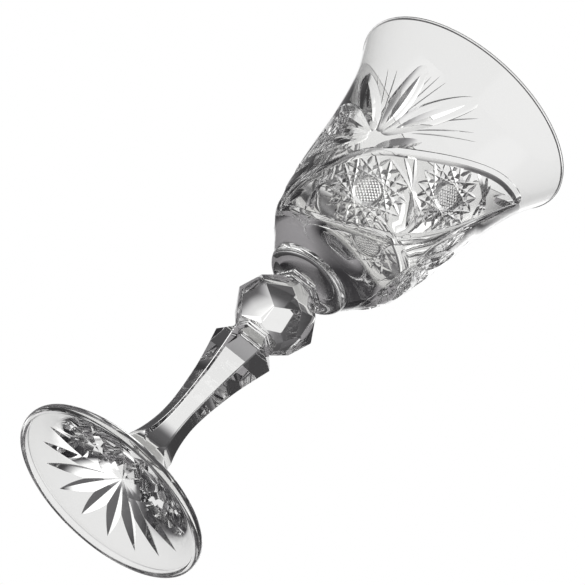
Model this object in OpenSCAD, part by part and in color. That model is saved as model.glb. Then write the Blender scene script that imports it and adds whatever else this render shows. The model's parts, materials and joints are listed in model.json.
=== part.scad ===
// Stemmed liqueur glass in cut crystal: a flared bowl on a round merese, a faceted knop and a
// six-sided baluster stem over a hollow foot with a star cut underneath.
// Millimetres, +Z up, origin at the centre of the circle that the foot rests on.

/* [Foot] */
// Diameter of the foot at its widest edge
foot_d = 49.8; // [46:0.2:60]
// Thickness of the foot at its edge
foot_edge_t = 2.4; // [2.2:0.1:3.4]
// How far the edge rounds out past the resting ring
foot_edge_round = 0.5; // [0.3:0.1:1.2]
// Width of the flat ring that the foot rests on
foot_rest_w = 0.5; // [0.4:0.1:1.2]
// Rise of the hollow under the foot, at its centre
foot_hollow_h = 4.8; // [4.2:0.1:5.4]
// Rise of the hollow where it meets the steep lip inside the resting ring
foot_break_h = 1.5; // [0.8:0.1:1.6]
// Width of that lip
foot_lip_w = 0.5; // [0.2:0.05:0.8]
// Height of the weld between the foot and the stem
foot_h = 8.8; // [8.4:0.1:12]
// Diameter of the foot at that weld
foot_weld_d = 17.4; // [16:0.2:20]
// How sharply the top of the foot sweeps up to that weld
foot_sweep = 1.7; // [1.4:0.1:2.2]

/* [Star under the foot] */
// Number of rays in the star
star_rays = 16; // [8:2:20]
// Diameter of the circle that the rays end on
star_d = 39.4; // [30:0.2:42]
// Diameter of the circle where neighbouring rays meet
star_valley_d = 19; // [12:0.2:24]
// Depth of the star at its middle
star_depth = 0.9; // [0.5:0.05:1.4]
// Plain band outside the tips of the rays
star_margin = 1; // [0.5:0.1:1.5]
// Turn of the star about the axis, in degrees
star_turn = 4; // [0:0.5:22]

/* [Stem] */
// Height of the stem between its two welds
stem_h = 44.8; // [42:0.2:60]
// Width across the flats of the stem at its waist
stem_waist_w = 6.9; // [5.6:0.1:8]
// Height of the waist above the foot weld
stem_waist_h = 17; // [14:0.2:19]
// Width across the flats where they fade into the round flare above the foot
fade_w = 10.5; // [9:0.1:12]
// Height of that place above the foot weld
fade_h = 6.5; // [5:0.1:9]
// Width across the flats of the swell between the waist and the shoulder
swell_w = 9.1; // [8:0.1:10]
// Height of the swell above the foot weld
swell_h = 30.2; // [24:0.2:34]
// Width across the flats of the stem at its shoulder
stem_shoulder_w = 13.5; // [11:0.1:16]
// Height of the bevel between the shoulder and the top of the stem
stem_bevel_h = 3.4; // [2:0.1:5]
// Width across the flats at the top of the stem
stem_top_w = 8.8; // [7:0.1:10]
// Diameter of the ankle, low on the round flare
ankle_d = 13.8; // [12:0.1:16]
// Height of the ankle above the foot weld
ankle_h = 3.4; // [2:0.1:5]
// Diameter of the shin, high on the round flare
shin_d = 11.7; // [10:0.1:12]
// Height of the shin above the foot weld
shin_h = 7.5; // [6:0.1:9]
// Turn of the six flats about the axis, in degrees
flats_turn = -9; // [-30:1:30]

/* [Neck ring] */
// Number of beads in the neck ring
ring_beads = 2; // [1:1:3]
// Height of the neck ring
ring_h = 1.6; // [1:0.1:3]
// Width across the flats of the neck ring
ring_w = 9.2; // [7.6:0.1:11]
// Depth of the groove round the neck ring and round the collar
groove_depth = 0.45; // [0.2:0.05:0.7]

/* [Knop] */
// Height of the knop
knop_h = 14.4; // [11:0.2:18]
// Width across the flats of the knop at its middle
knop_w = 18.1; // [15:0.1:22]
// Width across the kite facets at both ends of the knop
knop_end_w = 10.4; // [8:0.1:12]

/* [Collar] */
// Number of steps in the collar
collar_beads = 3; // [2:1:4]
// Height of one step of the collar
collar_step_h = 0.85; // [0.6:0.05:1.6]
// Width across the flats of the lowest step
collar_low_w = 8.6; // [7:0.1:10]
// Width across the flats of the highest step
collar_high_w = 10.5; // [8:0.1:12]

/* [Merese] */
// Height of the merese
merese_h = 3.45; // [2.5:0.05:6]
// Diameter of the merese where it sits on the collar
merese_low_d = 11.4; // [9:0.1:14]
// Largest diameter of the merese
merese_d = 20.4; // [17:0.1:24]

/* [Bowl] */
// Height of the bowl from its weld to its rim
bowl_h = 59.4; // [55:0.2:75]
// Outer diameter of the rim
rim_d = 57; // [50:0.2:64]
// Diameter of the heel, where the bowl starts to swell
heel_d = 25.9; // [22:0.2:30]
// Height of the heel above the weld of the bowl
heel_h = 4; // [3:0.2:6]
// Diameter of the belly
belly_d = 34.2; // [31:0.2:38]
// Height of the belly above the weld of the bowl
belly_h = 10.1; // [8:0.2:14]
// Diameter of the wall above the belly
wall_d = 39.3; // [36:0.2:44]
// Height of the wall above the weld of the bowl
wall_h = 21.6; // [18:0.2:26]
// Diameter of the throat, where the lip starts to flare
throat_d = 43.6; // [40:0.2:48]
// Height of the throat above the weld of the bowl
throat_h = 37.8; // [32:0.2:42]
// Diameter of the flare
flare_d = 49; // [45:0.2:54]
// Height of the flare above the weld of the bowl
flare_h = 50; // [46:0.2:53]
// Thickness of the wall where it is cut
wall_t = 2.7; // [2:0.1:4]
// Thickness of the lip at the rim
lip_t = 1; // [0.7:0.05:2]
// Thickness of the solid glass in the base of the bowl
floor_t = 7.2; // [5:0.1:10]
// Height of the rounded bottom inside the bowl
well_h = 9; // [6:0.2:14]

/* [Cuts on the bowl] */
// Number of times the pattern repeats round the bowl
repeats = 2; // [1:1:2]
// Width of the border round each pointed panel
border_w = 2.4; // [1.5:0.1:3]
// Depth of that border
border_depth = 0.8; // [0.4:0.05:1.2]
// Width of the leaves of the fan
leaf_w = 4.6; // [2:0.1:5]
// Depth of those leaves
leaf_depth = 1.1; // [0.5:0.05:1.4]
// Number of rays in each star of the panel
panel_star_rays = 16; // [8:1:16]
// Width of a ray
panel_star_ray_w = 1.4; // [0.8:0.1:1.8]
// Depth of a ray
panel_star_depth = 0.65; // [0.3:0.05:1]
// Radius of the bare button in each star, as a share of the star's own radius
panel_star_button = 0.36; // [0.32:0.02:0.5]
// Width of the lines that cross in sheaves between the stars
sheaf_w = 1.4; // [0.8:0.1:2]
// Depth of those lines
sheaf_depth = 0.55; // [0.3:0.05:1]

/* [Hidden] */
$fn = 96;

// Colour of the clear crystal
crystal = [0.90, 0.91, 0.93, 0.55];

// Sides of the stem, the rings and the knop
sides = 6;
half_side = 180 / sides;
corner = 1 / cos(half_side);

// Stations up the axis, each at the weld below a piece
stem_z = foot_h;
ring_z = stem_z + stem_h;
knop_z = ring_z + ring_h;
collar_z = knop_z + knop_h;
collar_h = collar_beads * collar_step_h;
merese_z = collar_z + collar_h;
bowl_z = merese_z + merese_h;

// Radii and slopes that follow from the sizes above
foot_r = foot_d / 2;
rest_out_r = foot_r - foot_edge_round;
rest_in_r = rest_out_r - foot_rest_w;
break_r = rest_in_r - foot_lip_w;
knop_edge_r = knop_w / 2 * corner;
overcut = 1;

// How far a cut's sides and its top stand clear of the surface, as multiples of its size,
// and the step that measures the lean of the surface
leaf_clear = 1.4;
leaf_top = 4;
lean_step = 0.5;

// Cut pattern, as an angle from the front and a share of the height of the cut band
panel_top = [[-88, 0.14], [-69, 0.24], [-50, 0.35], [-25, 0.51], [0, 0.63], [38, 0.84], [77, 0.97]];
panel_bottom = [
    [-88, 0.14], [-64, 0.12], [-40, 0.11], [-10, 0.14], [20, 0.23],
    [36, 0.34], [50, 0.49], [62, 0.67], [77, 0.97]
];
border_gap = 0.03;
panel_stars = [[-12, 0.33, 8.4], [30, 0.59, 7.6]];
sheaves = [
    [[-3, 0.6], [26, 0.33]], [[-9, 0.57], [32, 0.37]], [[-15, 0.52], [36, 0.42]],
    [[45, 0.82], [57, 0.67]], [[38, 0.82], [60, 0.71]], [[31, 0.79], [60, 0.75]],
    [[-50, 0.29], [-41, 0.14]], [[-42, 0.33], [-49, 0.13]]
];
tip_leaves = [[[53, 0.81], [75, 0.94]], [[-55, 0.21], [-80, 0.15]]];
button_share = 0.16;
high_fan = [-33, 0.57];
high_fan_tips = [[-2, 0.98], [-35, 0.99], [-73, 0.9], [-88, 0.72], [-86, 0.55], [-78, 0.41]];
low_fan = [55, 0.29];
low_fan_tips = [[65, 0.62], [84, 0.57], [100, 0.39], [92, 0.22], [73, 0.12]];

// Steps in a curve between two stations, in a rounded edge and in the top of the foot
curve_steps = 4;
edge_steps = 6;
top_steps = 8;

// Value of a smooth curve through b and c at t from 0 to 1, with a and d as its neighbours
function smooth_point(a, b, c, d, t) =
    let (m0 = (c - a) / 2, m1 = (d - b) / 2)
    (2 * pow(t, 3) - 3 * t * t + 1) * b + (pow(t, 3) - 2 * t * t + t) * m0
    + (3 * t * t - 2 * pow(t, 3)) * c + (pow(t, 3) - t * t) * m1;

// Smooth curve through a list of points
function smooth_curve(p) = let (last = len(p) - 1) concat(
    [for (i = [0 : last - 1]) for (s = [0 : curve_steps - 1])
        smooth_point(p[max(i - 1, 0)], p[i], p[i + 1], p[min(i + 2, last)], s / curve_steps)],
    [p[last]]);

// Points of an elliptical arc about a centre
function arc(centre, rx, rz, from, to) =
    [for (i = [0 : edge_steps]) let (a = from + (to - from) * i / edge_steps)
        centre + [rx * cos(a), rz * sin(a)]];

// Outline of the bowl outside, as radius and height above its weld
bowl_outside = smooth_curve([
    [merese_d / 2, 0],
    [heel_d / 2, heel_h],
    [belly_d / 2, belly_h],
    [wall_d / 2, wall_h],
    [throat_d / 2, throat_h],
    [flare_d / 2, flare_h],
    [rim_d / 2, bowl_h]
]);

// Radius of the bowl outside, and its wall, at a height above its weld
radius_by_height = [for (p = bowl_outside) [p[1], p[0]]];
function bowl_r(h) = lookup(h, radius_by_height);
function bowl_wall(h) = lookup(h, [[throat_h, wall_t], [bowl_h, lip_t]]);

// Point on the bowl outside, at an angle from the front and a height above its weld
function on_bowl(a, h) = [bowl_r(h) * sin(a), -bowl_r(h) * cos(a), bowl_z + h];

// Place of the pattern, an angle and a share, on the bowl's outer surface or below it
function in_bowl(place, depth) =
    on_bowl(place[0], place[1] * flare_h) - depth * outward(place);
function outward(place) =
    let (
        h = place[1] * flare_h,
        lean = atan2(bowl_r(h + lean_step) - bowl_r(h - lean_step), 2 * lean_step)
    )
    [sin(place[0]) * cos(lean), -cos(place[0]) * cos(lean), -sin(lean)];

// Height of the inner slope of the hollow under the foot, at a radius
function hollow_z(r) = foot_hollow_h - (foot_hollow_h - foot_break_h) * r / break_r;

// Solid with six flats that follow one outline of half widths and heights
module six_flats(outline, turn) {
    span = 4 * max([for (p = outline) p[0]]);
    mirrored = [for (i = [len(outline) - 1 : -1 : 0]) [-outline[i][0], outline[i][1]]];
    intersection_for (k = [0 : sides / 2 - 1])
        rotate([0, 0, turn + (k + 0.5) * 360 / sides])
        rotate([90, 0, 0])
        linear_extrude(span, center = true)
        polygon(concat(outline, mirrored));
}

// Leaf-shaped cut between two places of the pattern, deepest and widest at its middle
module leaf_cut(from, to, width, depth) {
    middle = (from + to) / 2;
    out = outward(middle);
    keel = in_bowl(middle, depth);
    along = in_bowl(to, 0) - in_bowl(from, 0);
    side = cross(out, along) / norm(along) * width / 2;
    edge = [in_bowl(from, 0), in_bowl(middle, 0) + side, in_bowl(to, 0), in_bowl(middle, 0) - side];
    clear = [for (p = edge) keel + (p - keel) * leaf_clear];
    polyhedron(
        concat(clear, [keel, keel + out * leaf_top * depth]),
        [[1, 0, 4], [2, 1, 4], [3, 2, 4], [0, 3, 4], [0, 1, 5], [1, 2, 5], [2, 3, 5], [3, 0, 5]]
    );
}

// Round disc, hollow underneath, with a rounded edge and a star cut into the hollow
module foot() {
    rise = foot_h - foot_edge_t;
    run = rest_out_r - foot_weld_d / 2;
    edge_mid = [rest_out_r, foot_edge_t / 2];
    top = [for (i = [1 : top_steps]) let (t = i / top_steps)
        [rest_out_r - run * t, foot_edge_t + rise * pow(t, foot_sweep)]];
    color(crystal)
        difference() {
            rotate_extrude()
                polygon(concat(
                    [[0, 0]],
                    arc(edge_mid, foot_edge_round, foot_edge_t / 2, -90, 90),
                    top,
                    [[0, foot_h]]
                ));
            rotate_extrude()
                polygon([
                    [0, foot_hollow_h],
                    [break_r, foot_break_h],
                    [rest_in_r, 0],
                    [rest_in_r, -overcut],
                    [0, -overcut]
                ]);
            star();
        }
}

// Pit of the star: its rays meet in one point above the middle of the hollow
module star() {
    star_r = star_d / 2;
    valley_r = star_valley_d / 2;
    apex_z = foot_hollow_h + star_depth;
    tip_spread = star_r / (apex_z - hollow_z(star_r));
    valley_spread = valley_r / (apex_z - hollow_z(valley_r));
    half_ray = 180 / star_rays;
    intersection() {
        translate([0, 0, -overcut])
            linear_extrude(apex_z + overcut, scale = 0)
            polygon([for (k = [0 : 2 * star_rays - 1])
                let (spread = k % 2 == 0 ? tip_spread : valley_spread, a = star_turn + k * half_ray)
                spread * (apex_z + overcut) * [cos(a), sin(a)]]);
        cylinder(h = 3 * apex_z, r = star_r + star_margin / 2, center = true);
    }
}

// Six-sided leg that is round where it flares into the foot
module stem() {
    weld_r = foot_weld_d / 2;
    corner_r = stem_shoulder_w / 2 * corner;
    flats = concat(
        smooth_curve([
            [weld_r + overcut, -overcut],
            [fade_w / 2, fade_h],
            [stem_waist_w / 2, stem_waist_h],
            [swell_w / 2, swell_h],
            [stem_shoulder_w / 2, stem_h - stem_bevel_h]
        ]),
        [[stem_top_w / 2, stem_h]]
    );
    flare = smooth_curve([
        [weld_r, 0],
        [ankle_d / 2, ankle_h],
        [shin_d / 2, shin_h],
        [corner_r, stem_waist_h]
    ]);
    color(crystal)
        intersection() {
            translate([0, 0, stem_z])
                six_flats(flats, flats_turn);
            translate([0, 0, stem_z])
                rotate_extrude()
                polygon(concat(
                    [[0, 0]],
                    flare,
                    [[corner_r, stem_h], [0, stem_h]]
                ));
        }
}

// Stack of six-sided beads parted by grooves, from one width across the flats to another
module beads(count, bead_h, low_w, high_w) {
    widen = count > 1 ? (high_w - low_w) / (count - 1) : 0;
    outline = [for (i = [0 : count - 1]) let (half_w = (low_w + widen * i) / 2)
        each [[half_w - groove_depth, i * bead_h], [half_w, (i + 0.5) * bead_h]]];
    six_flats(concat(outline, [[high_w / 2 - groove_depth, count * bead_h]]), flats_turn);
}

// Thin double ring between the stem and the knop
module neck_ring() {
    color(crystal)
        translate([0, 0, ring_z])
        beads(ring_beads, ring_h / ring_beads, ring_w, ring_w);
}

// Faceted ball: upright lozenges round the middle, kites above and below
module knop() {
    color(crystal)
        translate([0, 0, knop_z])
        intersection() {
            six_flats([[knop_w / 2, 0], [knop_w / 2, knop_h]], flats_turn);
            six_flats([
                [knop_end_w / 2, 0],
                [knop_edge_r, knop_h / 2],
                [knop_end_w / 2, knop_h]
            ], flats_turn + half_side);
        }
}

// Small stepped ring, wider at each step, that carries the merese
module collar() {
    color(crystal)
        translate([0, 0, collar_z])
        beads(collar_beads, collar_step_h, collar_low_w, collar_high_w);
}

// Round cushion that swells from the collar to the bowl
module merese() {
    low_r = merese_low_d / 2;
    swell = merese_d / 2 - low_r;
    color(crystal)
        translate([0, 0, merese_z])
        rotate_extrude()
        polygon(concat(
            [[0, 0]],
            arc([low_r, merese_h], swell, merese_h, -90, 0),
            [[0, merese_h]]
        ));
}

// Flared cup with a thick base, a thin lip and repeats of the cut pattern
module bowl() {
    well_top = floor_t + well_h;
    well_r = bowl_r(well_top) - bowl_wall(well_top);
    inside = [for (p = bowl_outside) if (p[1] > well_top) [p[0] - bowl_wall(p[1]), p[1]]];
    color(crystal)
        difference() {
            translate([0, 0, bowl_z])
                rotate_extrude()
                polygon(concat(
                    [[0, 0]],
                    bowl_outside,
                    [for (i = [len(inside) - 1 : -1 : 0]) inside[i]],
                    arc([0, well_top], well_r, well_h, 0, -90)
                ));
            for (k = [0 : repeats - 1])
                rotate([0, 0, k * 360 / repeats]) {
                    panel_border();
                    fan(high_fan, high_fan_tips);
                    fan(low_fan, low_fan_tips);
                    for (star = panel_stars)
                        panel_star([star[0], star[1]], star[2]);
                    for (line = concat(sheaves, tip_leaves))
                        leaf_cut(line[0], line[1], sheaf_w, sheaf_depth);
                }
        }
}

// Border of one pointed panel that climbs round the bowl, as a row of cuts along each edge
module panel_border() {
    for (path = [panel_top, panel_bottom])
        for (i = [0 : len(path) - 2])
            leaf_cut(
                path[i] + border_gap * (path[i + 1] - path[i]),
                path[i + 1] - border_gap * (path[i + 1] - path[i]),
                border_w,
                border_depth
            );
}

// Leaves that spread from one button beside the panel
module fan(centre, tips) {
    for (tip = tips)
        leaf_cut(centre + button_share * (tip - centre), tip, leaf_w, leaf_depth);
}

// Rays of one star in the panel, round a bare button
module panel_star(centre, radius) {
    turn_per_mm = 180 / PI / bowl_r(centre[1] * flare_h);
    for (k = [0 : panel_star_rays - 1]) {
        a = (k + 0.5) * 360 / panel_star_rays;
        reach = radius * [cos(a) * turn_per_mm, sin(a) / flare_h];
        leaf_cut(centre + panel_star_button * reach, centre + reach, panel_star_ray_w, panel_star_depth);
    }
}

foot();
stem();
neck_ring();
knop();
collar();
merese();
bowl();
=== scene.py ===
"""Stemmed liqueur glass in cut crystal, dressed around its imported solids.

The seven gathers of glass are modelled in millimetres, cut as a glass cutter would cut them, and brought
to metres when they take the place of their solids.
"""
import json
import logging
import math
from collections.abc import Sequence
from dataclasses import dataclass
from enum import Enum
from functools import cached_property

import bmesh
import bpy
import numpy as np
from mathutils import Matrix, Vector

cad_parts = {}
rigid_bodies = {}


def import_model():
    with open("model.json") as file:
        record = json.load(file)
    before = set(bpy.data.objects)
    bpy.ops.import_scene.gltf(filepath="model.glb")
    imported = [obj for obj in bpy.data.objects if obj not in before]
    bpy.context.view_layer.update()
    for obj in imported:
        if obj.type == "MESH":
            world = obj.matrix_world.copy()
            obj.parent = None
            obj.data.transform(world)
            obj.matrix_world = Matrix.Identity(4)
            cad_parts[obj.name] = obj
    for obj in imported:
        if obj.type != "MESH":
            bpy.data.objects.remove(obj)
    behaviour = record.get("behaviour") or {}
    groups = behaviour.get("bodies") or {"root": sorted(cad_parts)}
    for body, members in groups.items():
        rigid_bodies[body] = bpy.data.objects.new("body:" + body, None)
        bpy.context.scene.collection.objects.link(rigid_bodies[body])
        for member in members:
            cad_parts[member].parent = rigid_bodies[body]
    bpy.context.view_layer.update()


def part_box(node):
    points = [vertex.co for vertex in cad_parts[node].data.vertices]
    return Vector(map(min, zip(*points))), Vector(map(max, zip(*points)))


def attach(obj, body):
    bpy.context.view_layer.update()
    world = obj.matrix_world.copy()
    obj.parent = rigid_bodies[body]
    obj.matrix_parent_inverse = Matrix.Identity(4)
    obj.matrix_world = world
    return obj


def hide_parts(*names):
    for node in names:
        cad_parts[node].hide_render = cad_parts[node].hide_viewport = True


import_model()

LOG = logging.getLogger("liqueur_glass")
Point2 = tuple[float, float]
Point3 = tuple[float, float, float]
Place = tuple[float, float]
Line = tuple[Place, ...]
# Metres in a millimetre
MM = 0.001
# Flats round the stem, rings and knop, degrees from one to the next, and how much further out a corner lies
SIDES = 6
FLAT_TURN = 360 / SIDES
CORNER = 1 / math.cos(math.pi / SIDES)
# Millimetres within which points share a level, cut points merge, a spin's seam closes and a plane slices
NEAR = 1e-3
MERGE = 1e-4
SEAM = 1e-5
SLICE = 1e-6
# Numbers of a Mix node's sockets, whose names repeat
FLOAT_A, FLOAT_B = 2, 3
COLOUR_A, COLOUR_B, COLOUR_OUT = 6, 7, 2


class Surface(Enum):
    """How a face of the glass was made, which is also its material slot on a piece."""

    POLISHED = 0
    CUT = 1
    WELD = 2


class Carve(Enum):
    """How one solid works on another."""

    CUT_AWAY = "DIFFERENCE"
    KEEP_COMMON = "INTERSECT"


class Groove(Enum):
    """Section of a wheel's rim, as places across the cut and their share of its depth."""

    MITRE = ((-1.0, 0.0), (0.0, 1.0), (1.0, 0.0))
    KEEL = ((-1.0, 0.0), (-0.92, 0.7), (0.0, 1.0), (0.92, 0.7), (1.0, 0.0))
    FLUTE = ((-1.0, 0.0), (-0.8, 0.72), (-0.4, 0.92), (0.0, 1.0), (0.4, 0.92), (0.8, 0.72), (1.0, 0.0))


class Axis(Enum):
    """Direction in the room that a lit sheet is bounded along."""

    ACROSS = "X"
    BACK = "Y"
    UP = "Z"
    ASIDE = "aside"


def linear(hex_code: str) -> tuple[float, float, float, float]:
    """Turn an sRGB hex colour into a linear one.

    Args:
        hex_code: Six hex digits, such as "F4F5F7".

    Returns:
        Red, green, blue and alpha, with alpha at 1.
    """
    shares = [int(hex_code[i:i + 2], 16) / 255 for i in (0, 2, 4)]
    red, green, blue = (s / 12.92 if s <= 0.04045 else ((s + 0.055) / 1.055) ** 2.4 for s in shares)
    return red, green, blue, 1.0


def clear_tree(owner: bpy.types.Material | bpy.types.World) -> bpy.types.NodeTree:
    """Empty the node tree of a new material or world.

    Args:
        owner: The material or world.

    Returns:
        Its node tree, with no nodes.
    """
    owner.use_nodes = True
    owner.node_tree.nodes.clear()
    return owner.node_tree


def add_node(
    tree: bpy.types.NodeTree, kind: str, inputs: dict[str | int, object] | None = None, **settings: object
) -> bpy.types.Node:
    """Add one node with its settings, its socket values and its links.

    Args:
        tree: Node tree that the node joins.
        kind: Blender's name for the kind of node.
        inputs: Socket name or number, with a value or the output socket that feeds it.
        settings: Properties of the node.

    Returns:
        The new node.
    """
    node = tree.nodes.new(kind)
    for name, value in settings.items():
        setattr(node, name, value)
    for name, value in (inputs or {}).items():
        if isinstance(value, bpy.types.NodeSocket):
            tree.links.new(value, node.inputs[name])
        else:
            node.inputs[name].default_value = value
    return node


def between(start: Place, end: Place, share: float) -> Place:
    """Place that lies a share of the way from one place to another."""
    return tuple(a + share * (b - a) for a, b in zip(start, end))


def smooth_curve(points: Sequence[Point2], steps: int) -> list[Point2]:
    """Draw a smooth curve through a few stations.

    Args:
        points: Stations that the curve passes through.
        steps: Points from one station to the next.

    Returns:
        Points along the curve, the last station among them.
    """
    last = len(points) - 1
    curve = []
    for i in range(last):
        a, b, c, d = (Vector(points[k]) for k in (max(i - 1, 0), i, i + 1, min(i + 2, last)))
        for s in range(steps):
            t = s / steps
            rise = (2 * t ** 3 - 3 * t * t + 1) * b + (t ** 3 - 2 * t * t + t) * (c - a) / 2
            fall = (3 * t * t - 2 * t ** 3) * c + (t ** 3 - t * t) * (d - b) / 2
            curve.append(tuple(rise + fall))
    return curve + [tuple(points[last])]


def arc(centre: Point2, across: float, up: float, start: float, end: float, steps: int) -> list[Point2]:
    """Draw part of an ellipse as radius and height.

    Args:
        centre: Middle of the ellipse.
        across: Half width of the ellipse.
        up: Half height of the ellipse.
        start: First angle in degrees.
        end: Last angle in degrees.
        steps: Number of steps between the two.

    Returns:
        Points from the first angle to the last one.
    """
    turns = [math.radians(start + (end - start) * i / steps) for i in range(steps + 1)]
    return [(centre[0] + across * math.cos(a), centre[1] + up * math.sin(a)) for a in turns]


def is_level(part: bmesh.types.BMFace | bmesh.types.BMEdge, height: float) -> bool:
    """Tell whether a face or an edge lies level at a height."""
    return all(abs(v.co.z - height) < NEAR for v in part.verts)


def spun(outline: list[Point2], steps: int) -> bmesh.types.BMesh:
    """Spin an outline that starts and ends on the axis into a closed solid.

    Args:
        outline: Radius and height of each point.
        steps: Steps in the full turn.

    Returns:
        Closed mesh whose faces point outwards.
    """
    bm = bmesh.new()
    verts = [bm.verts.new((r, 0.0, z)) for r, z in outline]
    edges = [bm.edges.new(pair) for pair in zip(verts, verts[1:])]
    bmesh.ops.spin(
        bm, geom=verts + edges, cent=(0, 0, 0), axis=(0, 0, 1), angle=math.tau, steps=steps, use_merge=True
    )
    bmesh.ops.remove_doubles(bm, verts=bm.verts, dist=SEAM)
    bmesh.ops.recalc_face_normals(bm, faces=bm.faces)
    return bm


def grown_on(bm: bmesh.types.BMesh, face: bmesh.types.BMFace) -> bmesh.types.BMFace:
    """Extrude the end of a solid, or the lone face that it starts from.

    Args:
        bm: Mesh of the solid.
        face: Face at its end.

    Returns:
        The new face at its end.
    """
    inner = len(bm.faces) > 1
    grown = bmesh.ops.extrude_face_region(bm, geom=[face])["geom"]
    if inner:
        bmesh.ops.delete(bm, geom=[face], context="FACES_ONLY")
    return next(g for g in grown if isinstance(g, bmesh.types.BMFace))


def swept(sections: list[list[Vector]]) -> bmesh.types.BMesh:
    """Extrude the section of a wheel along its path into the solid that it grinds away.

    Args:
        sections: Corners of the section at each station.

    Returns:
        Closed mesh whose faces point outwards, all in the slot of cut glass.
    """
    bm = bmesh.new()
    face = bm.faces.new([bm.verts.new(p) for p in sections[0]])
    for section in sections[1:]:
        face = grown_on(bm, face)
        for vert, place in zip(face.verts, section):
            vert.co = place
    bmesh.ops.recalc_face_normals(bm, faces=bm.faces)
    for face in bm.faces:
        face.material_index = Surface.CUT.value
    return bm


def six_sided(outline: list[Point2], turn: float, nick: float) -> bmesh.types.BMesh:
    """Raise a six-sided solid whose flats follow one outline, with a fine nick along each corner.

    Args:
        outline: Half width across the flats and height of each station.
        turn: Direction of the first flat's corner, in degrees.
        nick: Share of the radius that the nick takes off each corner.

    Returns:
        Closed mesh whose faces point outwards.
    """
    bm = bmesh.new()
    bmesh.ops.create_circle(bm, cap_ends=True, radius=outline[0][0] * CORNER, segments=SIDES)
    start = Matrix.Rotation(math.radians(turn - FLAT_TURN / 2), 3, "Z")
    bmesh.ops.rotate(bm, verts=bm.verts, cent=(0, 0, 0), matrix=start)
    bmesh.ops.bevel(
        bm, geom=bm.verts[:], offset=outline[0][0] * nick, segments=1, profile=0.5, affect="VERTICES", material=-1
    )
    bmesh.ops.translate(bm, verts=bm.verts, vec=(0, 0, outline[0][1]))
    face = next(iter(bm.faces))
    for (low_w, low_z), (high_w, high_z) in zip(outline, outline[1:]):
        face = grown_on(bm, face)
        bmesh.ops.scale(bm, verts=face.verts, vec=(high_w / low_w, high_w / low_w, 1))
        bmesh.ops.translate(bm, verts=face.verts, vec=(0, 0, high_z - low_z))
    bmesh.ops.recalc_face_normals(bm, faces=bm.faces)
    return bm


def worked(body: bmesh.types.BMesh, tools: list[bmesh.types.BMesh], how: Carve) -> bmesh.types.BMesh:
    """Work one solid with others, and let all of them go.

    Args:
        body: Solid that is worked.
        tools: Solids that cut it or bound it.
        how: What the tools do to the body.

    Returns:
        The worked solid.
    """
    tray = bpy.data.collections.new("tools")
    bpy.context.scene.collection.children.link(tray)
    blank = bpy.data.objects.new("blank", bpy.data.meshes.new("blank"))
    bpy.context.scene.collection.objects.link(blank)
    body.to_mesh(blank.data)
    body.free()
    for tool in tools:
        wheel = bpy.data.objects.new("wheel", bpy.data.meshes.new("wheel"))
        tool.to_mesh(wheel.data)
        tool.free()
        tray.objects.link(wheel)
    carve = blank.modifiers.new("carve", "BOOLEAN")
    carve.solver = "MANIFOLD"
    carve.operation = how.value
    carve.operand_type = "COLLECTION"
    carve.collection = tray
    shaped = blank.evaluated_get(bpy.context.evaluated_depsgraph_get()).to_mesh()
    result = bmesh.new()
    result.from_mesh(shaped)
    bmesh.ops.remove_doubles(result, verts=result.verts, dist=MERGE)
    bmesh.ops.dissolve_degenerate(result, edges=result.edges, dist=MERGE)
    for used in [blank, *tray.objects]:
        mesh = used.data
        bpy.data.objects.remove(used)
        bpy.data.meshes.remove(mesh)
    bpy.data.collections.remove(tray)
    return result


@dataclass(frozen=True)
class Crystal:
    """Lead crystal that was blown, then fire polished or cut with a wheel and acid polished."""

    name: str
    ripple_mm: float
    ripple_depth_mm: float
    tint: str = "FAFAF9"
    shadow_tint: str = "F2F3F5"
    roughness: float = 0.0
    ior: float = 1.545

    def material(self) -> bpy.types.Material:
        """Make the glass.

        Returns:
            Material of clear glass that lets light through to the floor.
        """
        made = bpy.data.materials.new(self.name)
        tree = clear_tree(made)
        place = add_node(tree, "ShaderNodeTexCoord")
        # Hand-worked glass is never quite flat: slow ripples of a few millimetres make the lines seen through
        # it waver a little.
        ripple = add_node(tree, "ShaderNodeTexNoise", {
            "Vector": place.outputs["Object"], "Scale": 1 / (self.ripple_mm * MM), "Detail": 1.0,
        })
        lean = add_node(tree, "ShaderNodeBump", {
            "Height": ripple.outputs[0], "Strength": 1.0, "Distance": self.ripple_depth_mm * MM,
        })
        glass = add_node(tree, "ShaderNodeBsdfPrincipled", {
            "Base Color": linear(self.tint), "Roughness": self.roughness, "IOR": self.ior,
            "Transmission Weight": 1.0, "Normal": lean.outputs["Normal"],
        })
        # Light from the lamp goes straight through, so that the shadow stays as pale as a real glass throws it.
        ray = add_node(tree, "ShaderNodeLightPath")
        passing = add_node(tree, "ShaderNodeBsdfTransparent", {"Color": linear(self.shadow_tint)})
        both = add_node(tree, "ShaderNodeMixShader", {
            0: ray.outputs["Is Shadow Ray"], 1: glass.outputs[0], 2: passing.outputs[0],
        })
        add_node(tree, "ShaderNodeOutputMaterial", {"Surface": both.outputs[0]})
        return made


@dataclass(frozen=True)
class FusedWeld:
    """Weld between two gathers, where hot glass ran together and nothing shows."""

    name: str = "fused_crystal_weld"
    tint: str = "FFFFFF"

    def material(self) -> bpy.types.Material:
        """Make the weld.

        Returns:
            Material that lets everything through unbent.
        """
        made = bpy.data.materials.new(self.name)
        tree = clear_tree(made)
        clear = add_node(tree, "ShaderNodeBsdfTransparent", {"Color": linear(self.tint)})
        add_node(tree, "ShaderNodeOutputMaterial", {"Surface": clear.outputs[0]})
        return made


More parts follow.
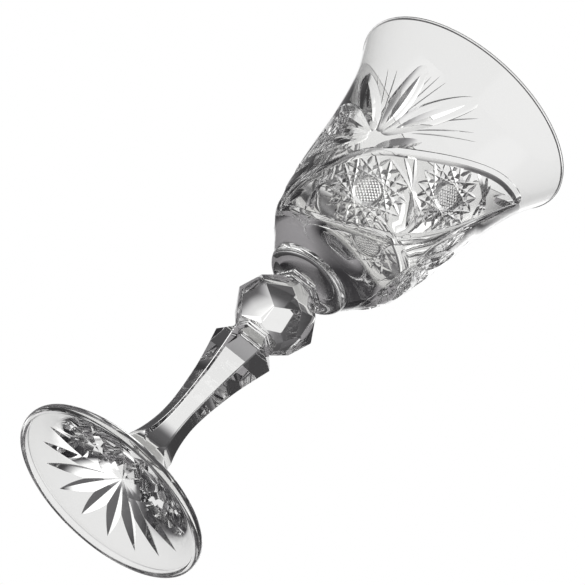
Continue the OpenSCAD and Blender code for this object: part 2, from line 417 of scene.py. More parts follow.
@dataclass(frozen=True)
class MattPaper:
    """Pale matt paper under the glass, which shows only from above; what the glass bends and mirrors of it carries
    painted shade and a painted pool of light.
    """

    name: str = "matt_paper_with_painted_shade_and_light"
    tint: str = "EDEDEB"
    # Painted shade, seen only through the glass: its colour, its middle, and the distances where it starts and where
    # it is full.
    painted_shade_tint: str = "ACACAA"
    painted_shade_at: Point3 = (0.01, 0.125, 0)
    painted_shade_edge: Point2 = (0.10, 0.05)
    # Painted shade and painted light, seen only in the glass's mirrors: dark and light colours, and where along X the
    # light begins and is full.
    painted_mirror_tints: tuple[str, str] = ("2C2B2D", "989698")
    painted_light_pool_edge: Point2 = (-0.02, 0.03)

    def material(self) -> bpy.types.Material:
        """Make the paper.

        Returns:
            Matt material that is clear from below.
        """
        made = bpy.data.materials.new(self.name)
        tree = clear_tree(made)
        side = add_node(tree, "ShaderNodeNewGeometry")
        ray = add_node(tree, "ShaderNodeLightPath")
        mirrored = add_node(tree, "ShaderNodeMath", {0: ray.outputs["Glossy Depth"], 1: 0.5}, operation="GREATER_THAN")
        place = add_node(tree, "ShaderNodeTexCoord")
        # Painted shade: behind the glass the paper is painted darker where only rays bent through the glass see it,
        # which darkens what the thick glass of the stem bends.
        away = add_node(tree, "ShaderNodeVectorMath", {
            0: place.outputs["Object"], 1: self.painted_shade_at,
        }, operation="DISTANCE")
        patch = add_node(tree, "ShaderNodeMapRange", {
            "Value": away.outputs["Value"], "From Min": self.painted_shade_edge[0], "From Max": self.painted_shade_edge[1],
        }, interpolation_type="SMOOTHSTEP")
        through = add_node(tree, "ShaderNodeMath", {
            0: patch.outputs[0], 1: ray.outputs["Is Transmission Ray"],
        }, operation="MULTIPLY")
        painted_shade_mix = add_node(tree, "ShaderNodeMix", {
            0: through.outputs[0], COLOUR_A: linear(self.tint), COLOUR_B: linear(self.painted_shade_tint),
        }, data_type="RGBA")
        # Painted shade and painted light: in the mirrors inside the glass the paper is painted dim, and painted
        # lighter to the right, where the lamp hangs.
        across = add_node(tree, "ShaderNodeSeparateXYZ", {0: place.outputs["Object"]})
        painted_light_pool = add_node(tree, "ShaderNodeMapRange", {
            "Value": across.outputs["X"], "From Min": self.painted_light_pool_edge[0], "From Max": self.painted_light_pool_edge[1],
        }, interpolation_type="SMOOTHSTEP")
        dark, light = (linear(tint) for tint in self.painted_mirror_tints)
        dim = add_node(tree, "ShaderNodeMix", {
            0: painted_light_pool.outputs[0], COLOUR_A: dark, COLOUR_B: light,
        }, data_type="RGBA")
        shade = add_node(tree, "ShaderNodeMix", {
            0: mirrored.outputs[0], COLOUR_A: painted_shade_mix.outputs[COLOUR_OUT], COLOUR_B: dim.outputs[COLOUR_OUT],
        }, data_type="RGBA")
        matt = add_node(tree, "ShaderNodeBsdfDiffuse", {"Color": shade.outputs[COLOUR_OUT]})
        open_air = add_node(tree, "ShaderNodeBsdfTransparent")
        both = add_node(tree, "ShaderNodeMixShader", {
            0: side.outputs["Backfacing"], 1: matt.outputs[0], 2: open_air.outputs[0],
        })
        add_node(tree, "ShaderNodeOutputMaterial", {"Surface": both.outputs[0]})
        return made


@dataclass
class Piece:
    """One gather of the glass, which takes the place of its solid."""

    node: str
    flats_turn: float = -9.0
    nick: float = 0.02
    crease: float = 13.0

    @cached_property
    def low(self) -> float:
        """Height of the solid's bottom in millimetres."""
        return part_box(self.node)[0].z / MM

    @cached_property
    def high(self) -> float:
        """Height of the solid's top in millimetres."""
        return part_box(self.node)[1].z / MM

    def shape(self) -> bmesh.types.BMesh:
        """Make the piece's mesh in millimetres."""
        raise NotImplementedError

    def mark_weld(self, bm: bmesh.types.BMesh, height: float, reach: float) -> None:
        """Give the faces of one weld their own slot.

        Args:
            bm: Mesh of the piece.
            height: Height of the weld.
            reach: Radius that the weld reaches to.
        """
        for face in bm.faces:
            if is_level(face, height) and all(v.co.xy.length < reach + NEAR for v in face.verts):
                face.material_index = Surface.WELD.value

    def ring_round_weld(self, bm: bmesh.types.BMesh, height: float, half_w: float) -> None:
        """Set a six-sided weld into the level face at one end of the piece.

        Args:
            bm: Mesh of the piece.
            height: Height of that end.
            half_w: Half width of the weld across its flats.
        """
        level = [f for f in bm.faces if is_level(f, height)]
        inside = {v for f in level for v in f.verts}
        rim = [e for f in level for e in f.edges if sum(g in level for g in e.link_faces) == 1]
        bmesh.ops.delete(bm, geom=level, context="FACES_ONLY")
        kept = {v for e in rim for v in e.verts}
        bmesh.ops.delete(bm, geom=list(inside - kept), context="VERTS")
        patch = six_sided([(half_w, height), (half_w, height + 1)], self.flats_turn, self.nick)
        corners = [v.co.copy() for v in next(f for f in patch.faces if is_level(f, height)).verts]
        patch.free()
        weld = bm.faces.new([bm.verts.new(co) for co in corners])
        weld.material_index = Surface.WELD.value
        bmesh.ops.triangle_fill(bm, edges=rim + list(weld.edges), use_beauty=True)
        bmesh.ops.recalc_face_normals(bm, faces=bm.faces)

    def build(self, finishes: list[bpy.types.Material]) -> bpy.types.Object:
        """Make the piece, dress it and set it in the frame.

        Args:
            finishes: Materials in the order of the surfaces.

        Returns:
            The finished object.
        """
        bm = self.shape()
        for face in bm.faces:
            face.smooth = True
        for edge in bm.edges:
            edge.smooth = edge.calc_face_angle(0.0) < math.radians(self.crease)
        bmesh.ops.scale(bm, verts=bm.verts, vec=(MM, MM, MM))
        mesh = bpy.data.meshes.new("crystal_" + self.node)
        bm.to_mesh(mesh)
        bm.free()
        for finish in finishes:
            mesh.materials.append(finish)
        made = bpy.data.objects.new(mesh.name, mesh)
        bpy.context.scene.collection.objects.link(made)
        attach(made, "root")
        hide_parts(self.node)
        mesh.calc_loop_triangles()
        LOG.info("%s: %d triangles", made.name, len(mesh.loop_triangles))
        return made


@dataclass
class Foot(Piece):
    """Round foot, hollow underneath, with a sixteen-ray star ground into the hollow."""

    node: str = "foot"
    edge_t: float = 2.4
    edge_round: float = 0.5
    edge_steps: int = 12
    rest: Point2 = (23.9, 24.4)
    lip_w: float = 0.5
    lip_steps: int = 8
    weld_r: float = 8.7
    sweep: float = 1.7
    sweep_steps: int = 24
    hollow: tuple[Point2, ...] = ((0.0, 4.8), (8.0, 3.67), (16.0, 2.54), (23.4, 1.5))
    hollow_steps: int = 6
    rays: int = 16
    ray_reach: float = 19.8
    ray_middle: float = 8.0
    ray_depth: float = 1.12
    ray_slope: float = 1.75
    ray_clear: float = 0.6
    ray_steps: int = 40
    star_turn: float = 3.9
    steps: int = 192

    @cached_property
    def hollow_curve(self) -> list[Point2]:
        """Radius and height along the hollow."""
        return smooth_curve(self.hollow, self.hollow_steps)

    def hollow_height(self, r: float) -> float:
        """Height of the hollow at a radius."""
        return float(np.interp(r, *zip(*self.hollow_curve)))

    def ray_pair(self, turn: float) -> bmesh.types.BMesh:
        """Make the wheel cut of two opposite rays.

        Args:
            turn: Direction of the rays in degrees.

        Returns:
            Solid that grinds the two rays.
        """
        along = Vector((math.cos(math.radians(turn)), math.sin(math.radians(turn)), 0))
        across = Vector((-along.y, along.x, 0))
        sections = []
        for i in range(self.ray_steps + 1):
            s = self.ray_reach * (2 * i / self.ray_steps - 1)
            fade = 1 - ((abs(s) - self.ray_middle) / (self.ray_reach - self.ray_middle)) ** 2
            depth = self.ray_depth * fade
            base = along * s + Vector((0, 0, self.hollow_height(abs(s))))
            under = base - Vector((0, 0, self.ray_clear))
            half_w = (depth + self.ray_clear) * self.ray_slope
            sections.append([base + Vector((0, 0, depth)), under + across * half_w, under - across * half_w])
        return swept(sections)

    def shape(self) -> bmesh.types.BMesh:
        """Spin the disc and grind its star.

        Returns:
            Mesh in millimetres.
        """
        rest_in, rest_out = self.rest
        run, rise = rest_out - self.weld_r, self.high - self.edge_t
        top = [
            (rest_out - run * t / self.sweep_steps, self.edge_t + rise * (t / self.sweep_steps) ** self.sweep)
            for t in range(1, self.sweep_steps + 1)
        ]
        lip_h, half_t = self.hollow[-1][1], self.edge_t / 2
        outline = self.hollow_curve[:-1] + arc((rest_in, lip_h), self.lip_w, lip_h, 180, 270, self.lip_steps)
        outline += arc((rest_out, half_t), self.edge_round, half_t, -90, 90, self.edge_steps)
        bm = spun(outline + top + [(0.0, self.high)], self.steps)
        pairs = self.rays // 2
        bm = worked(bm, [self.ray_pair(self.star_turn + 180 * k / pairs) for k in range(pairs)], Carve.CUT_AWAY)
        self.mark_weld(bm, self.high, self.weld_r)
        return bm


@dataclass
class Stem(Piece):
    """Six-sided baluster leg whose flats fade into a round flare above the foot."""

    node: str = "stem"
    flats: tuple[Point2, ...] = ((9.7, -1.0), (5.25, 6.5), (3.45, 17.0), (4.55, 30.2), (6.75, 41.4))
    flat_steps: int = 12
    flare: tuple[Point2, ...] = ((8.7, 0.0), (6.9, 3.4), (5.85, 7.5), (7.79, 17.0))
    flare_steps: int = 8
    flare_clear: Point2 = (0.5, 1.0)
    top_w: float = 4.4
    ring_w: float = 4.15
    steps: int = 192

    def shape(self) -> bmesh.types.BMesh:
        """Grind the flats and turn the flare.

        Returns:
            Mesh in millimetres.
        """
        tall = self.high - self.low
        flats = smooth_curve(self.flats, self.flat_steps) + [(self.top_w, tall), (self.ring_w, tall)]
        leg = six_sided([(w, self.low + h) for w, h in flats], self.flats_turn, self.nick)
        outside, above = self.flare[-1][0] + self.flare_clear[0], tall + self.flare_clear[1]
        flare = smooth_curve(self.flare, self.flare_steps) + [(outside, above), (0.0, above)]
        turned = spun([(0.0, self.low)] + [(r, self.low + h) for r, h in flare], self.steps)
        bm = worked(leg, [turned], Carve.KEEP_COMMON)
        self.mark_weld(bm, self.low, self.flare[0][0])
        self.mark_weld(bm, self.high, self.ring_w * CORNER)
        return bm


@dataclass
class Beads(Piece):
    """Stack of rounded six-sided beads parted by grooves."""

    count: int = 2
    low_w: float = 4.5
    high_w: float = 4.5
    groove: float = 0.45
    bead_steps: int = 8

    def shape(self) -> bmesh.types.BMesh:
        """Raise the beads one above the other.

        Returns:
            Mesh in millimetres.
        """
        bead_h = (self.high - self.low) / self.count
        outline = []
        for i in range(self.count):
            half_w = self.low_w + (self.high_w - self.low_w) * i / max(self.count - 1, 1)
            middle = self.low + (i + 0.5) * bead_h
            outline += arc((half_w - self.groove, middle), self.groove, bead_h / 2, -90, 90, self.bead_steps)[:-1]
        outline.append((self.high_w - self.groove, self.high))
        bm = six_sided(outline, self.flats_turn, self.nick)
        self.mark_weld(bm, self.low, self.low_w * CORNER)
        self.mark_weld(bm, self.high, self.high_w * CORNER)
        return bm


@dataclass
class Knop(Piece):
    """Faceted ball with upright lozenges round its middle and kites above and below."""

    node: str = "knop"
    block: float = 40.0
    half_w: float = 9.05
    end_w: float = 5.2
    ring_w: float = 4.15
    collar_w: float = 3.85
    edge_nick: float = 0.14

    def facet(self, bm: bmesh.types.BMesh, at: Vector, out: Vector) -> None:
        """Grind one flat facet.

        Args:
            bm: Mesh of the knop.
            at: Point on the facet.
            out: Direction that the facet faces.
        """
        geom = bm.verts[:] + bm.edges[:] + bm.faces[:]
        cut = bmesh.ops.bisect_plane(bm, geom=geom, plane_co=at, plane_no=out, dist=SLICE, clear_outer=True)
        edges = [g for g in cut["geom_cut"] if isinstance(g, bmesh.types.BMEdge)]
        if edges:
            bmesh.ops.contextual_create(bm, geom=edges)

    def shape(self) -> bmesh.types.BMesh:
        """Grind the ball from a block.

        Returns:
            Mesh in millimetres.
        """
        middle = (self.low + self.high) / 2
        half_h = (self.high - self.low) / 2
        edge_r = self.half_w * CORNER
        bm = bmesh.new()
        bmesh.ops.create_cube(bm, size=self.block)
        bmesh.ops.translate(bm, verts=bm.verts, vec=(0, 0, middle))
        for way in (-1, 1):
            self.facet(bm, Vector((0, 0, middle + way * half_h)), Vector((0, 0, way)))
        for k in range(SIDES):
            a = math.radians(self.flats_turn + FLAT_TURN * (k + 0.5))
            side = Vector((math.cos(a), math.sin(a), 0))
            self.facet(bm, side * self.half_w + Vector((0, 0, middle)), side)
            a += math.radians(FLAT_TURN / 2)
            side = Vector((math.cos(a), math.sin(a), 0))
            for way in (-1, 1):
                out = side * half_h + Vector((0, 0, way * (edge_r - self.end_w)))
                self.facet(bm, side * edge_r + Vector((0, 0, middle)), out.normalized())
        bmesh.ops.remove_doubles(bm, verts=bm.verts, dist=NEAR)
        edges = [e for e in bm.edges if not (is_level(e, self.low) or is_level(e, self.high))]
        bmesh.ops.bevel(
            bm, geom=edges, offset=self.edge_nick, segments=2, profile=0.5, affect="EDGES", material=-1
        )
        for face in bm.faces:
            face.material_index = Surface.CUT.value
        self.ring_round_weld(bm, self.low, self.ring_w)
        self.ring_round_weld(bm, self.high, self.collar_w)
        return bm


@dataclass
class Merese(Piece):
    """Round cushion of glass between the collar and the bowl."""

    node: str = "merese"
    low_r: float = 5.7
    high_r: float = 10.2
    side_steps: int = 16
    collar_w: float = 4.8
    steps: int = 256

    def shape(self) -> bmesh.types.BMesh:
        """Spin the cushion.

        Returns:
            Mesh in millimetres.
        """
        tall = self.high - self.low
        side = arc((self.low_r, self.high), self.high_r - self.low_r, tall, -90, 0, self.side_steps)
        bm = spun([(0.0, self.low)] + side + [(0.0, self.high)], self.steps)
        self.mark_weld(bm, self.high, self.high_r)
        self.ring_round_weld(bm, self.low, self.collar_w)
        return bm


@dataclass(frozen=True)
class Stroke:
    """Size of one kind of cut, the section of its wheel, and how bluntly it runs out at its ends."""

    half_w: float
    depth: float
    groove: Groove = Groove.MITRE
    fade: float = 2.0
    steps: int = 6

    def depth_at(self, share: float) -> float:
        """Depth at a share of the way along the cut."""
        return self.depth * (1 - abs(2 * share - 1) ** self.fade)


@dataclass(frozen=True)
class Cut:
    """One pass of the wheel along a path on the bowl."""

    path: Line
    stroke: Stroke


@dataclass(frozen=True)
class StarPattern:
    """Sixteen-point star with a hatched button, cut in chords."""

    centre: Place
    reach: float
    points: int = 16
    skip: int = 6
    turn: float = 4.0
    chord: Stroke = Stroke(0.66, 0.52, fade=3.0, steps=14)
    button_inset: float = 0.35
    hatch: Stroke = Stroke(0.17, 0.17, fade=8.0)
    hatch_pitch: float = 0.66
    hatch_turn: float = 38.0

    def spot(self, along: float, up: float, round_r: float) -> Place:
        """Place on the bowl that lies so far along and up from the star's centre."""
        return self.centre[0] + math.degrees(along / round_r), self.centre[1] + up

    def cuts(self, round_r: float) -> list[Cut]:
        """List the wheel's passes.

        Args:
            round_r: Radius of the bowl at the star.

        Returns:
            Chords of the star and hatching of its button.
        """
        passes = []
        for i in range(self.points):
            turns = [math.radians(self.turn) + math.tau * k / self.points for k in (i, i + self.skip)]
            ends = [self.spot(self.reach * math.cos(a), self.reach * math.sin(a), round_r) for a in turns]
            passes.append(Cut(tuple(ends), self.chord))
        inner_r = self.reach * math.cos(math.pi * self.skip / self.points)
        button = inner_r - self.button_inset * self.chord.half_w
        rows = int(button / self.hatch_pitch)
        for way in (-1, 1):
            a = math.radians(way * self.hatch_turn)
            for row in range(-rows, rows + 1):
                off = row * self.hatch_pitch
                half = math.sqrt(button ** 2 - off ** 2)
                ends = [
                    self.spot(t * math.cos(a) - off * math.sin(a), t * math.sin(a) + off * math.cos(a), round_r)
                    for t in (-half, half)
                ]
                passes.append(Cut(tuple(ends), self.hatch))
        return passes


@dataclass(frozen=True)
class FanPattern:
    """Fan of petals round a button, each a broad leaf with a deeper lens inside it."""

    button: Place
    tips: tuple[Place, ...]
    leaf: Stroke
    lens: Stroke
    leaf_run: Point3 = (0.07, 0.54, 1.0)
    lens_run: Point3 = (0.14, 0.54, 0.95)

    def cuts(self) -> list[Cut]:
        """List the wheel's passes.

        Returns:
            The leaf and the lens of each petal.
        """
        passes = []
        for tip in self.tips:
            for stroke, run in ((self.leaf, self.leaf_run), (self.lens, self.lens_run)):
                passes.append(Cut(tuple(between(self.button, tip, share) for share in run), stroke))
        return passes


@dataclass
class Bowl(Piece):
    """Flared cup with a thick base and a thin lip, cut in two repeats of panel and fans."""

    node: str = "bowl"
    outer: tuple[Point2, ...] = (
        (10.2, 0.0), (12.95, 4.0), (17.1, 10.1), (19.65, 21.6), (21.8, 37.8), (24.5, 50.0), (28.5, 59.4)
    )
    outer_steps: int = 10
    throat: float = 37.8
    wall: float = 2.7
    lip: float = 0.55
    lip_round: float = 0.35
    lip_steps: int = 8
    floor: float = 7.2
    well: float = 9.0
    well_steps: int = 20
    well_gap: float = 0.4
    steps: int = 256
    repeats: int = 2
    clear: float = 0.45
    lift: float = 0.02
    panel_top: Line = (
        (-88, 7.0), (-69, 12.0), (-50, 17.5), (-25, 25.5), (0, 31.5), (38, 42.0), (60, 46.2), (77, 48.5)
    )
    panel_bottom: Line = (
        (-88, 7.0), (-64, 6.0), (-40, 5.5), (-10, 7.0), (20, 11.5), (36, 17.0), (50, 24.5), (62, 33.5), (77, 48.5)
    )
    top_border: Stroke = Stroke(1.25, 0.6, Groove.FLUTE, fade=10.0, steps=8)
    bottom_border: Stroke = Stroke(1.4, 0.75, Groove.FLUTE, fade=10.0, steps=8)
    stars: tuple[StarPattern, ...] = (StarPattern((-12.0, 16.6), 9.4), StarPattern((30.0, 29.7), 8.6))
    high_fan: FanPattern = FanPattern(
        button=(-33, 28.5),
        tips=((2, 49.8), (-34, 49.8), (-73, 45.0), (-88, 36.0), (-86, 27.5), (-78, 20.5)),
        leaf=Stroke(3.0, 0.9, Groove.FLUTE, steps=10),
        lens=Stroke(1.5, 1.2, Groove.KEEL, steps=10),
    )
    low_fan: FanPattern = FanPattern(
        button=(55, 14.5),
        tips=((65, 31.0), (84, 28.5), (100, 19.5), (92, 11.0), (73, 6.0)),
        leaf=Stroke(2.6, 0.9, Groove.FLUTE, steps=10),
        lens=Stroke(1.3, 1.2, Groove.KEEL, steps=10),
    )
    hair_tips: tuple[Place, ...] = (
        (-27, 48.4), (-23, 49.4), (-18, 48.9), (-61, 44.9), (-56, 46.9), (-49, 46.9), (9, 47.4), (13, 44.4), (18, 43.4)
    )
    hair_start: float = 0.34
    hair: Stroke = Stroke(0.17, 0.11, steps=10)
    sheaves: tuple[Line, ...] = (
        ((-3, 29.9), (26, 16.7)), ((-9, 28.4), (32, 18.7)), ((-15, 25.9), (36, 21.2)),
        ((45, 40.9), (57, 33.4)), ((38, 40.9), (60, 35.4)), ((31, 39.4), (60, 37.4)),
        ((-50, 14.4), (-41, 6.9)), ((-42, 16.4), (-49, 6.4)),
    )
    straw: Stroke = Stroke(0.55, 0.58, fade=4.0, steps=12)
    tip_leaves: tuple[Line, ...] = (((53, 40.4), (75, 46.9)), ((-55, 10.4), (-80, 7.6)), ((-28, 25.9), (-6, 33.9)))
    tip_leaf: Stroke = Stroke(1.45, 0.9, steps=12)

    @cached_property
    def curve(self) -> list[Point2]:
        """Outer radius and height above the weld along the wall."""
        return smooth_curve(self.outer, self.outer_steps)

    def radius(self, h: float) -> float:
        """Outer radius at a height above the weld."""
        return float(np.interp(h, [p[1] for p in self.curve], [p[0] for p in self.curve]))

    def thickness(self, h: float) -> float:
        """Thickness of the wall at a height above the weld."""
        return float(np.interp(h, [self.throat, self.high - self.low], [self.wall, self.lip]))

    def on_wall(self, place: Place) -> tuple[Vector, Vector]:
        """Find a place of the pattern on the outer wall.

        Args:
            place: Angle from the front in degrees and height above the weld.

        Returns:
            The point and the direction out of the wall.
        """
        a, h = math.radians(place[0]), place[1]
        r = self.radius(h)
        lean = math.atan2(self.radius(h + 0.5) - self.radius(h - 0.5), 1.0)
        out = Vector((math.sin(a) * math.cos(lean), -math.cos(a) * math.cos(lean), -math.sin(lean)))
        return Vector((r * math.sin(a), -r * math.cos(a), self.low + h)), out

    def wheel(self, cut: Cut) -> bmesh.types.BMesh:
        """Make the solid that one pass of the wheel takes away.

        Args:
            cut: The pass.

        Returns:
            Closed solid that follows the wall.
        """
        stroke, section = cut.stroke, cut.stroke.groove.value
        spots = [self.on_wall(place) for place in smooth_curve(cut.path, stroke.steps)]
        last = len(spots) - 1
        # The section is carried on above the wall, so it is spread to have its stated width where it meets it.
        sides, shares = zip(*section[:len(section) // 2 + 1])
        full = stroke.depth + self.clear
        spread = stroke.half_w / (full * -float(np.interp(self.clear / full, shares, sides)))
        sections = []
        for i, (at, out) in enumerate(spots):
            before, after = spots[max(i - 1, 0)][0], spots[min(i + 1, last)][0]
            across = out.cross(after - before).normalized()
            depth = -self.lift if i in (0, last) else stroke.depth_at(i / last)
            tall = depth + self.clear
            keel = at - out * depth
            sections.append([
                keel + out * tall * (1 - share) + across * (side * tall * spread) for side, share in section
            ])
        return swept(sections)

    def cuts(self) -> list[Cut]:
        """List the passes of one repeat of the pattern.

        Returns:
            Borders, stars, fans, hair lines, sheaves and leaves at the tips, in the order that they are cut.
        """
        passes = [Cut(self.panel_top, self.top_border), Cut(self.panel_bottom, self.bottom_border)]
        for star in self.stars:
            passes += star.cuts(self.radius(star.centre[1]))
        passes += self.high_fan.cuts() + self.low_fan.cuts()
        for tip in self.hair_tips:
            passes.append(Cut((between(self.high_fan.button, tip, self.hair_start), tip), self.hair))
        passes += [Cut(line, self.straw) for line in self.sheaves]
        passes += [Cut(line, self.tip_leaf) for line in self.tip_leaves]
        return passes

    def shape(self) -> bmesh.types.BMesh:
        """Blow the cup and cut its wall.

        Returns:
            Mesh in millimetres.
        """
        rim_h = self.high - self.low - self.lip_round
        half_lip = self.lip / 2
        well_top = self.floor + self.well
        inside = [(r - self.thickness(h), h) for r, h in self.curve if h > well_top + self.well_gap]
        well_r = self.radius(well_top) - self.thickness(well_top)
        rim = arc((self.curve[-1][0] - half_lip, rim_h), half_lip, self.lip_round, 0, 180, self.lip_steps)
        outline = [(0.0, 0.0)] + self.curve[:-1] + rim + inside[-2::-1]
        outline += arc((0.0, well_top), well_r, self.well, 0, -90, self.well_steps)
        outline[-1] = (0.0, outline[-1][1])
        bm = spun([(r, self.low + h) for r, h in outline], self.steps)
        wheels = []
        for k in range(self.repeats):
            turn = Matrix.Rotation(math.tau * k / self.repeats, 3, "Z")
            for cut in self.cuts():
                solid = self.wheel(cut)
                bmesh.ops.rotate(solid, verts=solid.verts, cent=(0, 0, 0), matrix=turn)
                wheels.append(solid)
        LOG.info("bowl: %d passes of the wheel", len(wheels))
        bm = worked(bm, wheels, Carve.CUT_AWAY)
        self.mark_weld(bm, self.low, self.outer[0][0])
        return bm


@dataclass(frozen=True)
class LitSheet:
    """Lit part of the backdrop, with where it is dark and where it is fully lit along each bound."""

    strength: float
    bounds: tuple[tuple[Axis, float, float], ...]


@dataclass(frozen=True)
class SoftPanel:
    """Round soft panel of light that is far off in one direction."""

    aim: Point3
    strength: float


@dataclass(frozen=True)
class Backdrop:
    """Dim room with lit sheets behind the glass and panels beside it, and white for the camera."""

    sheets: tuple[LitSheet, ...] = (
        LitSheet(0.76, ((Axis.ASIDE, 0.38, 0.22), (Axis.BACK, 0.08, 0.30), (Axis.UP, 0.22, 0.36))),
        LitSheet(0.13, ((Axis.ASIDE, 0.85, 0.30), (Axis.BACK, -0.3, 0.4), (Axis.UP, -0.05, 0.4))),
        LitSheet(0.66, (
            (Axis.ACROSS, 0.12, 0.26), (Axis.ACROSS, 0.62, 0.44), (Axis.BACK, -0.1, 0.2), (Axis.UP, 0.12, 0.28),
        )),
    )
    sheet_middle: float = 0.07
    panels: tuple[SoftPanel, ...] = (
        SoftPanel((-0.80, -0.52, 0.30), 0.8), SoftPanel((0.86, -0.42, 0.28), 0.6), SoftPanel((0.1, -0.35, 0.93), 0.22),
    )
    panel_edge: Point2 = (0.88, 0.96)
    room_glow: float = 0.05
    horizon: Point2 = (0.035, 0.06)
    horizon_glow: Point2 = (0.12, 0.05)
    floor_light: float = 0.8
    camera_white: float = 1.0
    dim_tint: str = "F3F1F5"
    lit_tint: str = "FFFFFF"

    def hang(self) -> None:
        """Make the world that lights the glass and shows in it."""
        world = bpy.data.worlds.new("studio")
        bpy.context.scene.world = world
        tree = clear_tree(world)
        way = add_node(tree, "ShaderNodeTexCoord").outputs["Generated"]
        ray = add_node(tree, "ShaderNodeLightPath")
        axes = add_node(tree, "ShaderNodeSeparateXYZ", {0: way})
        off = add_node(tree, "ShaderNodeMath", {0: axes.outputs["X"], 1: self.sheet_middle}, operation="SUBTRACT")
        aside = add_node(tree, "ShaderNodeMath", {0: off.outputs[0]}, operation="ABSOLUTE")
        along = {axis: axes.outputs[axis.value] for axis in (Axis.ACROSS, Axis.BACK, Axis.UP)}
        along[Axis.ASIDE] = aside.outputs[0]
        level = self.room_glow
        for sheet in self.sheets:
            lit = 1.0
            for axis, dark_at, lit_at in sheet.bounds:
                share = add_node(tree, "ShaderNodeMapRange", {
                    "Value": along[axis], "From Min": dark_at, "From Max": lit_at,
                }, interpolation_type="SMOOTHSTEP")
                lit = add_node(tree, "ShaderNodeMath", {0: lit, 1: share.outputs[0]}, operation="MULTIPLY").outputs[0]
            level = add_node(tree, "ShaderNodeMath", {
                0: lit, 1: sheet.strength, 2: level,
            }, operation="MULTIPLY_ADD").outputs[0]
        for panel in self.panels:
            toward = add_node(tree, "ShaderNodeVectorMath", {0: way, 1: panel.aim}, operation="DOT_PRODUCT")
            share = add_node(tree, "ShaderNodeMapRange", {
                "Value": toward.outputs["Value"], "From Min": self.panel_edge[0], "From Max": self.panel_edge[1],
                "To Max": panel.strength,
            }, interpolation_type="SMOOTHSTEP")
            level = add_node(tree, "ShaderNodeMath", {0: level, 1: share.outputs[0]}, operation="ADD").outputs[0]
        # Only what the glass bends shows the glow along the horizon, and what it mirrors doesn't.
        glow = add_node(tree, "ShaderNodeMapRange", {
            "Value": axes.outputs["Z"], "From Min": self.horizon[0], "From Max": self.horizon[1],
            "To Min": self.horizon_glow[0], "To Max": self.horizon_glow[1],
        }, interpolation_type="SMOOTHSTEP")
        seen = add_node(tree, "ShaderNodeMath", {0: level, 1: glow.outputs[0]}, operation="MAXIMUM").outputs[0]
        mirrored = add_node(tree, "ShaderNodeMath", {0: ray.outputs["Glossy Depth"], 1: 0.5}, operation="GREATER_THAN")
        for share, value in (
            (mirrored.outputs[0], level),
            (ray.outputs["Is Diffuse Ray"], self.floor_light),
            (ray.outputs["Is Camera Ray"], self.camera_white),
        ):
            seen = add_node(tree, "ShaderNodeMix", {
                0: share, FLOAT_A: seen, FLOAT_B: value,
            }, data_type="FLOAT").outputs[0]
        tone = add_node(tree, "ShaderNodeMix", {
            0: seen, COLOUR_A: linear(self.dim_tint), COLOUR_B: linear(self.lit_tint),
        }, data_type="RGBA")
        light = add_node(tree, "ShaderNodeBackground", {"Color": tone.outputs[COLOUR_OUT], "Strength": seen})
        add_node(tree, "ShaderNodeOutputWorld", {"Surface": light.outputs[0]})


@dataclass(frozen=True)
class SoftLamp:
    """Square soft lamp that faces the glass."""

    name: str
    at: Point3
    size: float
    watts: float

    def hang(self, target: Vector) -> None:
        """Hang the lamp.

        Args:
            target: Point that it faces.
        """
        light = bpy.data.lights.new(self.name, "AREA")
        light.size = self.size
        light.energy = self.watts
        made = bpy.data.objects.new(self.name, light)
        # The glass shows the backdrop, and no picture of the lamp itself.
        made.visible_glossy = False
        made.visible_transmission = False
        made.location = self.at
        made.rotation_euler = (target - Vector(self.at)).to_track_quat("-Z", "Y").to_euler()
        bpy.context.scene.collection.objects.link(made)


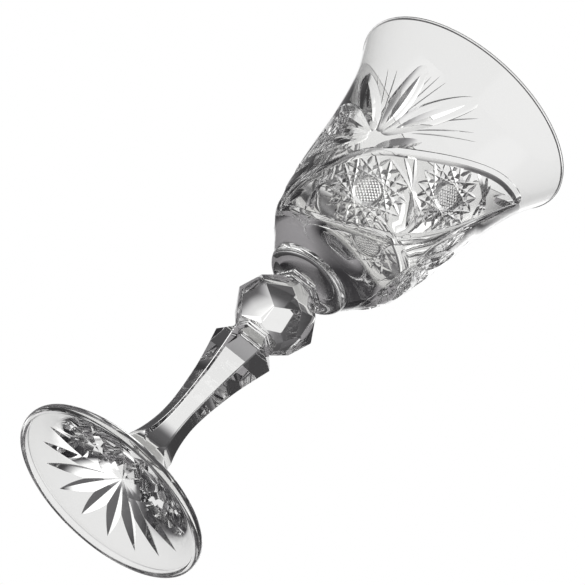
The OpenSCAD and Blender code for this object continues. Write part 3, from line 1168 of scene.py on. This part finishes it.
@dataclass(frozen=True)
class Studio:
    """Floor, light and camera."""

    paper: MattPaper = MattPaper()
    floor_size: float = 6.0
    floor_gap: float = 0.0001
    backdrop: Backdrop = Backdrop()
    lamp: SoftLamp = SoftLamp("lamp_above", (0.3, -0.5, 1.2), size=0.7, watts=6.0)
    target: Point3 = (0, 0, 0.0675)
    distance: float = 1.89
    elevation: float = -29.0
    roll: float = 42.95
    lens: float = 514.1
    shift: Point2 = (0.0067, 0.0137)
    bounces: int = 32
    clear_bounces: int = 48

    def floor(self) -> None:
        """Lay a pale floor just under the glass, with painted shade that only the glass shows."""
        bm = bmesh.new()
        bmesh.ops.create_grid(bm, x_segments=1, y_segments=1, size=self.floor_size / 2)
        mesh = bpy.data.meshes.new("floor")
        bm.to_mesh(mesh)
        bm.free()
        mesh.materials.append(self.paper.material())
        made = bpy.data.objects.new("floor", mesh)
        made.location.z = -self.floor_gap
        bpy.context.scene.collection.objects.link(made)

    def camera(self) -> None:
        """Set the camera low, looking up and turned, as the photo was taken."""
        tilt, roll = math.radians(self.elevation), math.radians(self.roll)
        back = Vector((0, -math.cos(tilt), math.sin(tilt)))
        right = Vector((1, 0, 0))
        up = back.cross(right)
        across = math.cos(roll) * right + math.sin(roll) * up
        rise = -math.sin(roll) * right + math.cos(roll) * up
        view = bpy.data.cameras.new("camera")
        view.lens = self.lens
        view.shift_x, view.shift_y = self.shift
        made = bpy.data.objects.new("camera", view)
        stand = Matrix.Translation(Vector(self.target) + back * self.distance)
        made.matrix_world = stand @ Matrix((across, rise, back)).transposed().to_4x4()
        bpy.context.scene.collection.objects.link(made)
        bpy.context.scene.camera = made

    def set_up(self) -> None:
        """Lay the floor, light the scene and set the camera."""
        self.floor()
        self.backdrop.hang()
        self.lamp.hang(Vector(self.target))
        self.camera()
        scene = bpy.context.scene
        scene.view_settings.view_transform = "Standard"
        scene.cycles.max_bounces = self.bounces
        scene.cycles.transmission_bounces = self.bounces
        scene.cycles.glossy_bounces = self.bounces
        scene.cycles.transparent_max_bounces = self.clear_bounces


def main() -> None:
    """Build the glass and its studio."""
    logging.basicConfig(level=logging.INFO, format="%(message)s")
    finishes = [
        Crystal("fire_polished_crystal", ripple_mm=9.0, ripple_depth_mm=0.004).material(),
        Crystal("wheel_cut_crystal", ripple_mm=3.0, ripple_depth_mm=0.003).material(),
        FusedWeld().material(),
    ]
    pieces = [
        Foot(),
        Stem(),
        Beads("neck_ring", count=2, low_w=4.6, high_w=4.6),
        Knop(),
        Beads("collar", count=3, low_w=4.3, high_w=5.25),
        Merese(),
        Bowl(),
    ]
    for piece in pieces:
        piece.build(finishes)
    Studio().set_up()


if __name__ == "__main__":
    main()
